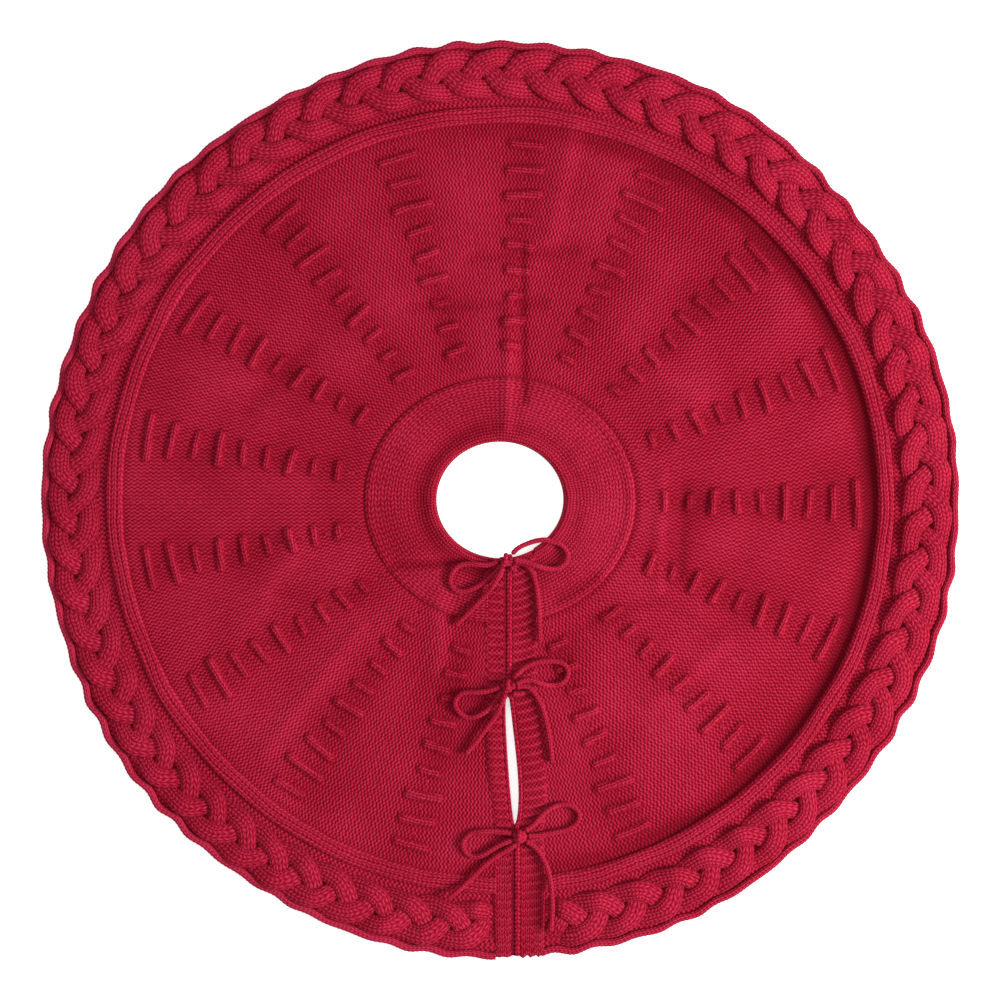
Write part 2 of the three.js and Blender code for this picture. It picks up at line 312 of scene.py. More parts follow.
def set_piece(name, mesh, material, shape):
    """Moves a mesh laid out in stitch counts into its place and makes it a piece.

    shape takes each vertex's wale, course and layer. It returns the places in metres, the painted
    shading of each vertex, which is painted shade where it is above 0 and painted light where it is
    below, and how far from purl to plain each vertex is.
    """
    spots = np.empty(len(mesh.vertices) * 3, np.float32)
    mesh.vertices.foreach_get("co", spots)
    wale, course, layer = spots.reshape(-1, 3).astype(float).T
    places, stitches, painted_shading, plain = shape(wale, course, layer)
    mesh.vertices.foreach_set("co", np.stack(places, 1).astype(np.float32).ravel())
    corners = np.empty(len(mesh.loops), np.int32)
    mesh.loops.foreach_get("vertex_index", corners)
    counts = mesh.uv_layers.new(name="stitches")
    counts.uv.foreach_set("vector", np.stack(stitches, 1)[corners].astype(np.float32).ravel())
    for label, values in (("painted_shading", painted_shading), ("plain_share", plain)):
        attribute = mesh.attributes.new(label, "FLOAT", "POINT")
        filled = np.broadcast_to(values, wale.shape).astype(np.float32)
        attribute.data.foreach_set("value", filled)
    knitting = bmesh.new()
    knitting.from_mesh(mesh)
    bmesh.ops.remove_doubles(knitting, verts=knitting.verts[:], dist=1e-6)
    bmesh.ops.recalc_face_normals(knitting, faces=knitting.faces[:])
    knitting.to_mesh(mesh)
    knitting.free()
    mesh.shade_smooth()
    mesh.materials.append(material)
    piece = bpy.data.objects.new(name, mesh)
    bpy.context.scene.collection.objects.link(piece)
    return piece


# ---- ties ----
# Six cords about 7 mm thick, knitted as narrow tubes of four stitches. One is sewn to each
# placket at each bow, makes a loop, goes through the knot and leaves a tail on the cloth.
cord_diameter = 0.007
cord_relief = 0.0007
cord_wales = 4
cord_course = 0.0046
bows = {
    "top": {
        "knot": (0.008, -0.079, 0.0179),
        "right_loop": [
            (0.0155, -0.072, 0.0139), (0.024, -0.064, 0.0139), (0.036, -0.058, 0.0129),
            (0.049, -0.054, 0.0129), (0.06, -0.053, 0.0129), (0.069, -0.055, 0.0119),
            (0.08, -0.059, 0.0119), (0.087, -0.066, 0.0119), (0.09, -0.074, 0.0119),
            (0.088, -0.082, 0.0119), (0.082, -0.088, 0.0119), (0.073, -0.0915, 0.0119),
            (0.061, -0.0905, 0.0159), (0.049, -0.087, 0.0203), (0.038, -0.0835, 0.0203),
            (0.027, -0.0805, 0.0203), (0.0178, -0.0785, 0.0213),
        ],
        "right_tail": [
            (0.018, -0.081, 0.0139), (0.026, -0.083, 0.0129), (0.034, -0.086, 0.0129),
            (0.0405, -0.092, 0.0129), (0.045, -0.101, 0.0129), (0.048, -0.113, 0.0129),
            (0.05, -0.127, 0.0129), (0.0515, -0.141, 0.0129), (0.0523, -0.158, 0.0129),
            (0.0528, -0.175, 0.0129), (0.0528, -0.19, 0.0129),
        ],
        "right_root": [
            (0.013, -0.088, 0.0139), (0.017, -0.0915, 0.0139), (0.023, -0.0935, 0.0139),
        ],
        "left_loop": [
            (-0.0018, -0.08, 0.0139), (-0.01, -0.085, 0.0129), (-0.02, -0.0865, 0.0129),
            (-0.032, -0.0855, 0.0129), (-0.043, -0.085, 0.0119), (-0.052, -0.0865, 0.0119),
            (-0.06, -0.092, 0.0119), (-0.065, -0.101, 0.0119), (-0.065, -0.112, 0.0119),
            (-0.059, -0.1195, 0.0119), (-0.049, -0.121, 0.0119), (-0.036, -0.1175, 0.0129),
            (-0.025, -0.112, 0.0129), (-0.015, -0.105, 0.0129), (-0.0065, -0.097, 0.0129),
            (-0.001, -0.091, 0.0139), (0.0016, -0.0866, 0.0139),
        ],
        "left_tail": [
            (0.0045, -0.0883, 0.0213), (0.0015, -0.095, 0.0213), (-0.003, -0.104, 0.0213),
            (-0.009, -0.113, 0.0203), (-0.0155, -0.122, 0.0159), (-0.024, -0.131, 0.0129),
            (-0.033, -0.141, 0.0129), (-0.042, -0.15, 0.0119), (-0.051, -0.159, 0.0119),
            (-0.059, -0.167, 0.0119),
        ],
    },
    "middle": {
        "knot": (0.011, -0.246, 0.0179),
        "right_loop": [
            (0.0175, -0.2385, 0.0139), (0.023, -0.231, 0.0139), (0.032, -0.223, 0.0129),
            (0.047, -0.216, 0.0129), (0.062, -0.2135, 0.0129), (0.077, -0.215, 0.0109),
            (0.0865, -0.2195, 0.0109), (0.0905, -0.228, 0.0109), (0.0885, -0.237, 0.0109),
            (0.081, -0.2435, 0.0109), (0.071, -0.246, 0.0109), (0.059, -0.2445, 0.0159),
            (0.049, -0.2405, 0.0203), (0.039, -0.238, 0.0203), (0.029, -0.24, 0.0203),
            (0.0208, -0.244, 0.0213),
        ],
        "right_tail": [
            (0.0205, -0.2485, 0.0139), (0.028, -0.247, 0.0129), (0.036, -0.2475, 0.0129),
            (0.043, -0.2525, 0.0129), (0.049, -0.261, 0.0129), (0.0545, -0.271, 0.0129),
            (0.059, -0.284, 0.0129), (0.0625, -0.299, 0.0129), (0.065, -0.314, 0.0129),
            (0.0675, -0.331, 0.0129), (0.069, -0.35, 0.0129),
        ],
        "right_root": [
            (0.0155, -0.256, 0.0139), (0.023, -0.257, 0.0139), (0.033, -0.2565, 0.0129),
        ],
        "left_loop": [
            (0.0012, -0.2475, 0.0139), (-0.007, -0.251, 0.0129), (-0.018, -0.254, 0.0129),
            (-0.031, -0.255, 0.0129), (-0.043, -0.255, 0.0109), (-0.052, -0.258, 0.0109),
            (-0.0585, -0.265, 0.0109), (-0.059, -0.274, 0.0109), (-0.053, -0.283, 0.0109),
            (-0.043, -0.2885, 0.0109), (-0.031, -0.287, 0.0129), (-0.02, -0.281, 0.0129),
            (-0.01, -0.272, 0.0129), (-0.002, -0.262, 0.0139), (0.0042, -0.253, 0.0139),
        ],
        "left_tail": [
            (0.008, -0.2555, 0.0213), (0.0055, -0.262, 0.0213), (0.0015, -0.271, 0.0213),
            (-0.003, -0.281, 0.0169), (-0.009, -0.291, 0.0129), (-0.018, -0.303, 0.0129),
            (-0.027, -0.315, 0.0129), (-0.036, -0.326, 0.0109), (-0.046, -0.338, 0.0109),
        ],
    },
    "bottom": {
        "knot": (0.026, -0.446, 0.0179),
        "right_loop": [
            (0.0325, -0.4385, 0.0139), (0.041, -0.434, 0.0129), (0.05, -0.425, 0.0129),
            (0.058, -0.416, 0.0129), (0.068, -0.4085, 0.0129), (0.08, -0.4045, 0.0109),
            (0.093, -0.4055, 0.0109), (0.103, -0.412, 0.0109), (0.1055, -0.421, 0.0109),
            (0.1, -0.431, 0.0109), (0.088, -0.438, 0.0109), (0.074, -0.441, 0.0129),
            (0.06, -0.4435, 0.0129), (0.048, -0.445, 0.0129), (0.036, -0.4455, 0.0129),
        ],
        "right_tail": [
            (0.0335, -0.4528, 0.0139), (0.0405, -0.456, 0.0129), (0.049, -0.463, 0.0129),
            (0.056, -0.473, 0.0129), (0.0615, -0.485, 0.0129), (0.0655, -0.499, 0.0139),
            (0.068, -0.515, 0.0189), (0.069, -0.532, 0.0189), (0.0685, -0.552, 0.0189),
            (0.067, -0.572, 0.0189),
        ],
        "left_loop": [
            (0.0165, -0.443, 0.0139), (0.009, -0.441, 0.0139), (-0.002, -0.44, 0.0129),
            (-0.014, -0.4395, 0.0129), (-0.026, -0.44, 0.0129), (-0.037, -0.442, 0.0109),
            (-0.045, -0.448, 0.0109), (-0.0495, -0.457, 0.0109), (-0.046, -0.467, 0.0109),
            (-0.036, -0.4735, 0.0109), (-0.024, -0.4715, 0.0129), (-0.012, -0.4645, 0.0129),
            (0, -0.4575, 0.0129), (0.009, -0.4535, 0.0139), (0.0168, -0.4508, 0.0139),
        ],
        "left_tail": [
            (0.022, -0.4555, 0.0139), (0.015, -0.461, 0.0139), (0.004, -0.4675, 0.0129),
            (-0.007, -0.4745, 0.0129), (-0.019, -0.4835, 0.0129), (-0.03, -0.494, 0.0139),
            (-0.042, -0.5055, 0.0139), (-0.054, -0.516, 0.0189), (-0.064, -0.5245, 0.0189),
            (-0.07, -0.5285, 0.0189),
        ],
    },
}


def route_line(points, step):
    """Points every step along the centripetal Catmull-Rom curve through the given points."""
    known = np.array(points, float)
    known = np.vstack([2 * known[0] - known[1], known, 2 * known[-1] - known[-2]])
    line = []
    for before, start, end, after in zip(known, known[1:], known[2:], known[3:]):
        pairs = ((before, start), (start, end), (end, after))
        first, second, third = (np.linalg.norm(b - a) ** 0.5 for a, b in pairs)
        leaving = (start - before) / first - (end - before) / (first + second) + (end - start) / second
        arriving = (end - start) / second - (after - start) / (second + third) + (after - end) / third
        t = np.linspace(0, 1, 24, endpoint=False)[:, None]
        rise, run = leaving * second, arriving * second
        curve = start + rise * t + (3 * (end - start) - 2 * rise - run) * t**2
        line.append(curve + (rise + run - 2 * (end - start)) * t**3)
    line = np.vstack([*line, known[-2]])
    far = np.concatenate([[0], np.linalg.norm(np.diff(line, axis=0), axis=1).cumsum()])
    even = np.linspace(0, far[-1], max(4, round(far[-1] / step)) + 1)
    return np.stack([np.interp(even, far, line[:, i]) for i in range(3)], 1), far[-1]


def tube_grid(rings, sides):
    """A flat grid one wale-count wide and one course-count long that a cord is wrapped from."""
    knitting = bmesh.new()
    bmesh.ops.create_grid(knitting, x_segments=sides, y_segments=rings, size=0.5)
    bmesh.ops.translate(knitting, verts=knitting.verts[:], vec=(0.5, 0.5, 0))
    return knitting


def knit_tube(name, lines, material, radius):
    """Closed tubes with round ends along one or more lines, with the four wales of a cord."""
    whole = bmesh.new()
    for number, (line, _) in enumerate(lines):
        grid = tube_grid(len(line) - 1, 4 * cord_wales)
        bmesh.ops.translate(grid, verts=grid.verts[:], vec=(0, 0, number))
        loose = bpy.data.meshes.new("loose")
        grid.to_mesh(loose)
        grid.free()
        whole.from_mesh(loose)
        bpy.data.meshes.remove(loose)
    mesh = bpy.data.meshes.new(name)
    whole.to_mesh(mesh)
    whole.free()

    def wrap(share_round, share_along, number):
        places = np.zeros((len(share_round), 3))
        course = np.zeros(len(share_round))
        for index, (line, upright) in enumerate(lines):
            chosen = np.round(number) == index
            far = np.concatenate([[0], np.linalg.norm(np.diff(line, axis=0), axis=1).cumsum()])
            ring = np.round(share_along[chosen] * (len(line) - 1)).astype(int)
            ahead = np.gradient(line, axis=0)
            ahead /= np.linalg.norm(ahead, axis=1)[:, None]
            side = np.cross(ahead, upright)
            side /= np.linalg.norm(side, axis=1)[:, None]
            over = np.cross(side, ahead)
            turn = math.tau * share_round[chosen]
            stitch = far[ring] / cord_course
            from_end = np.minimum(far[ring], far[-1] - far[ring])
            rounding = np.sqrt(np.clip(1 - (1 - from_end / radius).clip(0) ** 2, 0, 1))
            relief = cord_relief * (plain_relief(cord_wales * share_round[chosen], stitch) - 0.6)
            out = (radius + relief) * rounding
            places[chosen] = (
                line[ring]
                + side[ring] * (out * np.cos(turn))[:, None]
                + over[ring] * (out * np.sin(turn))[:, None]
            )
            course[chosen] = stitch
        return places.T, (cord_wales * share_round, course), 0.0, 1.0

    return set_piece(name, mesh, material, wrap)


cord_yarn = yarn_material("cord_yarn", ["plain"], bump=0.0007, brightness=1.08)
straight_up = np.array((0, 0, 1.0))
flaps = {"right": "right_flap", "left": "left_flap"}
cords = {}
for place, bow in bows.items():
    for stretch, points in bow.items():
        if stretch == "knot":
            continue
        line, long = route_line(points, cord_course / 4)
        name = f"{place}_{stretch}"
        piece = knit_tube("cord_" + name, [(line, straight_up)], cord_yarn, cord_diameter / 2)
        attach(piece, flaps[stretch.split("_")[0]])
        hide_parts("tie_" + name)
        cords[name] = (piece, line, long)

# ---- knots ----
# Where a bow is tied, the two cords cross and one is wrapped tightly over them. The wrap shows
# as a short upright turn of cord, and the crossing cords bulge out on both sides of it.
wrap_width = 0.0052
wrap_height = 0.0046
wrap_lead = 0.0016  # the turn drifts sideways by this much
knot_cord = 0.0062

for place, bow in bows.items():
    centre = np.array(bow["knot"]) - (0, 0, 0.0022)
    ends = {stretch: np.array(bow[stretch]) for stretch in bow if stretch != "knot"}
    crossing = [
        [ends["right_loop"][0], centre + (0.003, 0.002, 0.0), centre + (-0.003, -0.002, 0.0),
         ends["left_tail"][0]],
        [ends["left_loop"][0], centre + (-0.003, 0.001, 0.001), centre + (0.003, -0.001, 0.001),
         ends["right_tail"][0]],
        [ends["left_loop"][-1], centre + (-0.002, -0.003, -0.001),
         centre + (0.002, 0.001, 0.001), ends["right_loop"][-1]],
    ]
    lines = [(route_line(points, cord_course / 4)[0], straight_up) for points in crossing]
    turns = np.linspace(-0.2, 1.2, 34) * math.tau
    ring = [
        centre + (
            wrap_lead * (turn / math.pi - 1),
            -wrap_width * math.cos(turn) * 1.25,
            wrap_height * math.sin(turn) + 0.001,
        )
        for turn in turns
    ]
    lines.append((np.array(ring), np.array((1.0, 0, 0))))
    knot = knit_tube("tied_knot_" + place, lines, cord_yarn, knot_cord / 2)
    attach(knot, "left_flap")
    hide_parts("knot_" + place)

# A root is the short start of a right cord, between its placket and the knot. This loop skips the roots
# and does nothing else.
for name, (piece, line, long) in cords.items():
    place, hand, stretch = name.split("_")
    if stretch == "root":
        continue

# ---- collar ----
# A band of plain knit round the trunk hole, eleven wales wide and knitted with short rows so that
# it lies flat. Its inner edge rolls up a little, and its outer edge is linked over the gores.
hole_half_width = 0.0845
hole_half_depth = 0.0775
collar_half_width = 0.181
collar_half_depth = 0.164
collar_middle = 0.13  # the radius along which its courses are counted
collar_wales = 11
collar_course = 0.0062
gore_count = 16
flap_gores = 3
lip_height = 0.0022
dip_depth = 0.0026
link_height = 0.0018
middle_height = 0.0016
seam_overrun = {"collar": 30, "ring": 7}  # degrees past a fold line at which a length ends
placket_far_side = {"right": 0.0398, "left": 0.0298}  # from the slit to a placket's outer side
under_placket = 0.0045  # the skirt goes on under the plackets by this much
tucked_side = {hand: far - under_placket for hand, far in placket_far_side.items()}


def polar(radius, angle):
    """x and y at a radius and an angle in degrees."""
    turn = np.radians(angle)
    return radius * np.sin(turn), -radius * np.cos(turn)


def gore_edge(edge):
    """The angle between gore number edge and the next one; fractions lie inside a gore."""
    turn = math.pi * edge / gore_count
    return 21.2 + 21.62 * (edge - 0.5) + 2.9 * math.sin(turn) + 1.56 * math.sin(2 * turn)


def oval(half_width, half_depth, angle):
    """The radius at an angle of an ellipse round the middle."""
    turn = np.radians(angle)
    return 1 / np.hypot(np.sin(turn) / half_width, np.cos(turn) / half_depth)


def slit_shift(distance):
    """How far right of the centre line the slit runs, at a distance from the centre."""
    return 0.0095 + 0.0105 * ease(distance, 0.24, 0.42)


def slit_half_gap(distance):
    """Half the slit's opening: it gapes between the two lower bows, most of all near the lower."""
    along = np.clip((distance - 0.262) / 0.172, 0, 1)
    return (0.0004 + 0.0135 * along**0.4 * (1 - along**5)) / 2


def slit_angle(radius, side, offset):
    """Where a line beside the slit crosses a radius. side is 1 on the right and -1 on the left."""
    x = np.zeros_like(radius)
    for _ in range(6):
        distance = np.sqrt(radius**2 - x**2)
        x = slit_shift(distance) + side * (slit_half_gap(distance) + offset)
    return np.degrees(np.arcsin(x / radius))


ripples = (  # height in mm, radians a metre along x and y, and start, of the cloth's waves
    (0.5, 13, 5, 0.4), (0.45, -9, 16, 2.1), (0.5, 31, 14, 4.0), (0.4, -37, 29, 1.2),
    (0.32, 66, -21, 0.3), (0.3, 22, 71, 5.0), (0.22, -58, 63, 2.2),
)
creases = (  # x and y at both ends, half width, and height in mm, of folds left by storing it
    (0.008, 0.098, 0.012, 0.262, 0.0085, 3.2), (0.031, 0.133, 0.029, 0.337, 0.006, -2.6),
    (0.096, 0.497, 0.066, 0.352, 0.015, 3.0), (-0.12, 0.258, 0.055, 0.264, 0.008, -1.9),
    (-0.04, 0.322, 0.1, 0.334, 0.008, -1.8), (-0.142, -0.086, -0.05, -0.083, 0.0055, -4.4),
    (-0.081, -0.128, -0.083, -0.226, 0.014, 3.2), (-0.31, -0.33, -0.19, -0.17, 0.012, 2.4),
    (-0.39, -0.24, -0.27, -0.05, 0.016, 2.0), (-0.34, 0.12, -0.26, 0.2, 0.012, -1.6),
    (0.215, 0.03, 0.21, -0.12, 0.009, 2.2), (0.245, 0.02, 0.24, -0.1, 0.008, -1.8),
    (0.3, -0.19, 0.2, -0.27, 0.012, 2.4), (0.12, -0.16, 0.21, -0.13, 0.01, -1.8),
    (0.16, 0.22, 0.26, 0.13, 0.012, 1.5), (-0.2, -0.13, -0.3, -0.12, 0.011, -1.6),
    (0.078, -0.13, 0.122, -0.106, 0.01, -2.4), (0.1, 0.05, 0.112, -0.03, 0.012, 1.6),
)


def lie(x, y):
    """How far the cloth stands up where it doesn't lie quite flat."""
    height = sum(h * np.sin(kx * x + ky * y + start) for h, kx, ky, start in ripples)
    for start_x, start_y, end_x, end_y, half_width, high in creases:
        run_x, run_y = end_x - start_x, end_y - start_y
        along = ((x - start_x) * run_x + (y - start_y) * run_y) / (run_x**2 + run_y**2)
        along = np.clip(along, 0, 1)
        apart = np.hypot(x - start_x - along * run_x, y - start_y - along * run_y)
        height = height + high * swell_at(apart, 0, half_width)
    return 0.001 * height


def sunk_shade(x, y):
    """How much darker the cloth looks where it sinks, because less light reaches it there."""
    return np.clip(-75 * lie(x, y), -0.1, 0.3)


def knit_slab(wales, courses, cuts=3):
    """A closed slab laid out in stitch counts: layer 0 below, and 1 on top with finer faces."""
    knitting = bmesh.new()
    bmesh.ops.create_grid(knitting, x_segments=wales, y_segments=courses, size=0.5)
    bmesh.ops.translate(knitting, verts=knitting.verts[:], vec=(0.5, 0.5, 0))
    bmesh.ops.scale(knitting, verts=knitting.verts[:], vec=(wales, courses, 1))
    top = bmesh.ops.extrude_face_region(knitting, geom=knitting.faces[:], use_keep_orig=True)
    raised = [item for item in top["geom"] if isinstance(item, bmesh.types.BMVert)]
    bmesh.ops.translate(knitting, verts=raised, vec=(0, 0, 1))
    knitting.faces.ensure_lookup_table()
    fine = [e for e in knitting.edges if e.verts[0].co.z > 0.5 and e.verts[1].co.z > 0.5]
    bmesh.ops.subdivide_edges(knitting, edges=fine, cuts=cuts, use_grid_fill=True)
    mesh = bpy.data.meshes.new("knit_slab")
    knitting.to_mesh(mesh)
    knitting.free()
    return mesh


right_fold = gore_edge(flap_gores)
left_fold = gore_edge(gore_count - flap_gores)


def ring_lengths(overrun):
    """Start and end of a ring's three lengths. None is the side of a placket."""
    return {
        "right": (None, right_fold + overrun),
        "back": (right_fold + overrun, left_fold - overrun),
        "left": (left_fold - overrun, None),
    }


def ring_angle(share, radius, start, finish):
    """The angle at a share of a ring's length, whose ends may be the sides of the plackets."""
    first = slit_angle(radius, 1, tucked_side["right"]) if start is None else start
    last = 360 + slit_angle(radius, -1, tucked_side["left"]) if finish is None else finish
    return first + share * (last - first)


def hold(piece, place):
    """A right or left length has its place baked into its mesh, and any other length is attached to the
    back.
    """
    if place == "right":
        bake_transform(piece)
    elif place == "left":
        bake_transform(piece)
    else:
        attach(piece, "back")


def rounded(distance, reach):
    """0 at an edge and 1 from reach on, along a quarter circle."""
    return np.sqrt(np.clip(1 - (1 - np.clip(distance / reach, 0, 1)) ** 2, 0, 1))


plain_yarn = yarn_material("plain_knit_yarn", ["plain"])
collar_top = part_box("collar_back")[1].z
for place, (start, finish) in ring_lengths(seam_overrun["collar"]).items():
    degrees = (finish or 360) - (start or 0)
    courses = round(math.radians(degrees) * collar_middle / collar_course)

    def collar_shape(wale, course, layer):
        share = wale / collar_wales
        angle = ring_angle(course / courses, np.full_like(share, collar_middle), start, finish)
        inner = oval(hole_half_width, hole_half_depth, angle)
        outer = oval(collar_half_width, collar_half_depth, angle)
        radius = inner + share * (outer - inner)
        angle = ring_angle(course / courses, radius, start, finish)
        x, y = polar(radius, angle)
        turn = np.radians(angle)
        relief = plain_relief(wale, course)
        puckers = 0.5 + 0.5 * np.sin(17 * turn + 2.2) * np.sin(7 * turn)
        lip = swell_at(share, 0.08, 0.08) * (0.75 + 0.25 * puckers)
        dip = swell_at(share, 0.24, 0.11) * (0.65 - 0.35 * np.sin(turn))
        link = swell_at(share, 0.92, 0.05) * (0.7 + 0.3 * np.sin(turn))
        middle_wales = swell_at(share, 0.56, 0.16) * (0.3 + 0.5 * puckers)
        top = collar_top - 0.0022 + lie(x, y) + 0.0014 * relief
        top = top + lip_height * lip - dip_depth * dip + link_height * link
        top = top + middle_height * middle_wales
        edge = rounded(share, 0.05) * (0.35 + 0.65 * rounded(1 - share, 0.05))
        z = np.where(layer > 0.5, 0.0008 + (np.maximum(top, 0.003) - 0.0008) * edge, 0.0)
        # painted shade in the collar's dip, along its edges and where the cloth sinks
        painted_shading = 0.06 + 0.3 * dip + 0.4 * (1 - edge) + sunk_shade(x, y)
        return (x, y, z), (wale, course), painted_shading, 1.0

    piece = set_piece("knit_collar_" + place, knit_slab(collar_wales, courses), plain_yarn, collar_shape)
    hold(piece, place)
    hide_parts("collar_" + place)
    wide = collar_half_width - hole_half_width

# ---- gores ----
# Sixteen wedges knitted sideways in short rows and worn purl side out. Their rows run out from
# the collar and end at a column in the middle, where nine plain stitches stand up as dashes.
panel_radius = 0.503
collar_overlap = 0.005  # the collar is linked over the feet of the gores by this much
gore_wales = 41
row_pitch = 0.00513
dash_wales = range(5, 38, 4)
dash_half_wales = 1.15
dash_inner_half = 0.0135  # half the length of a dash beside the collar
dash_growth = 0.0185  # and how much longer it is beside the welt
dash_height = 0.0046
dash_sink = 0.0008  # the cloth is drawn in between two dashes
purl_height = 0.0015
slack_radius = 0.493  # just inside the welt the cloth sags a little
slack_reach = 0.012
slack_depth = 0.0024
plain_half_angle = 10.81  # from a gore's column to its side
bending_gores = {  # the gores beside a fold line, and the flap on their side
    flap_gores: "right", flap_gores + 1: "right",
    gore_count - flap_gores: "left", gore_count - flap_gores + 1: "left",
}


def gore_cloth(low_cut, high_cut):
    """The top of a gore laid out in stitches, with its column along y = 0.

    A cut is the courses between the column and one side, at the foot and at the welt.
    """
    knitting = bmesh.new()
    reach = math.ceil(max(low_cut + high_cut))
    bmesh.ops.create_grid(knitting, x_segments=4 * gore_wales, y_segments=8 * reach, size=0.5)
    bmesh.ops.translate(knitting, verts=knitting.verts[:], vec=(0.5, 0, 1))
    bmesh.ops.scale(knitting, verts=knitting.verts[:], vec=(gore_wales, 2 * reach, 1))
    for side, (narrow, wide) in ((-1, low_cut), (1, high_cut)):
        bmesh.ops.bisect_plane(
            knitting, geom=knitting.verts[:] + knitting.edges[:] + knitting.faces[:], dist=1e-5,
            plane_co=(0, side * narrow, 0), plane_no=((narrow - wide) / gore_wales, side, 0),
            clear_outer=True,
        )
    return knitting


def quilt_below(whole, under):
    """Cuts the one face under a gore along every second wale and course."""
    geometry = [under, *under.edges, *under.verts]
    places = [corner.co for corner in under.verts]
    for axis, way in enumerate(((1, 0, 0), (0, 1, 0))):
        low = math.ceil(min(place[axis] for place in places) / 2) * 2
        high = max(place[axis] for place in places)
        for at in range(low, math.ceil(high), 2):
            geometry = bmesh.ops.bisect_plane(
                whole, geom=geometry, dist=1e-4, plane_co=[at * part for part in way], plane_no=way
            )["geom"]


def whole_gore(cloth, bends):
    """A closed slab from a gore's top, with the same fine faces below it when bends is set, and one
    quilted face below it otherwise.
    """
    if bends:
        below = bmesh.ops.extrude_face_region(cloth, geom=cloth.faces[:], use_keep_orig=True)
        lowered = [item for item in below["geom"] if isinstance(item, bmesh.types.BMVert)]
        bmesh.ops.translate(cloth, verts=lowered, vec=(0, 0, -1))
    else:
        rim = [edge for edge in cloth.edges if edge.is_boundary]
        skirting = bmesh.ops.extrude_edge_only(cloth, edges=rim)["geom"]
        lowered = [item for item in skirting if isinstance(item, bmesh.types.BMVert)]
        bmesh.ops.translate(cloth, verts=lowered, vec=(0, 0, -1))
        rim = [edge for edge in cloth.edges if edge.is_boundary]
        quilt_below(cloth, bmesh.ops.edgeloop_fill(cloth, edges=rim)["faces"][0])
    mesh = bpy.data.meshes.new("gore")
    cloth.to_mesh(mesh)
    cloth.free()
    return mesh


def courses_across(radius, half_angle):
    """Courses between a gore's side and its column, at a radius."""
    return radius * math.sin(math.radians(half_angle)) / row_pitch


collar_side = collar_half_width - collar_overlap
plain_half = tuple(
    courses_across(radius, plain_half_angle) for radius in (collar_side, panel_radius)
)


def beside_slit(side, column, offset):
    """The same for the half gore beside a placket, whose rows run along the slit."""
    ends = []
    for radius in (collar_side, panel_radius):
        edge = math.radians(float(slit_angle(np.array(radius), side, offset)))
        ends.append(radius * abs(math.sin(math.radians(column)) - math.sin(edge)) / row_pitch)
    return tuple(ends)


purl_yarn = yarn_material("purl_knit_yarn", ["purl", "plain"], bump=0.0012)
gore_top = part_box("gore_08")[1].z

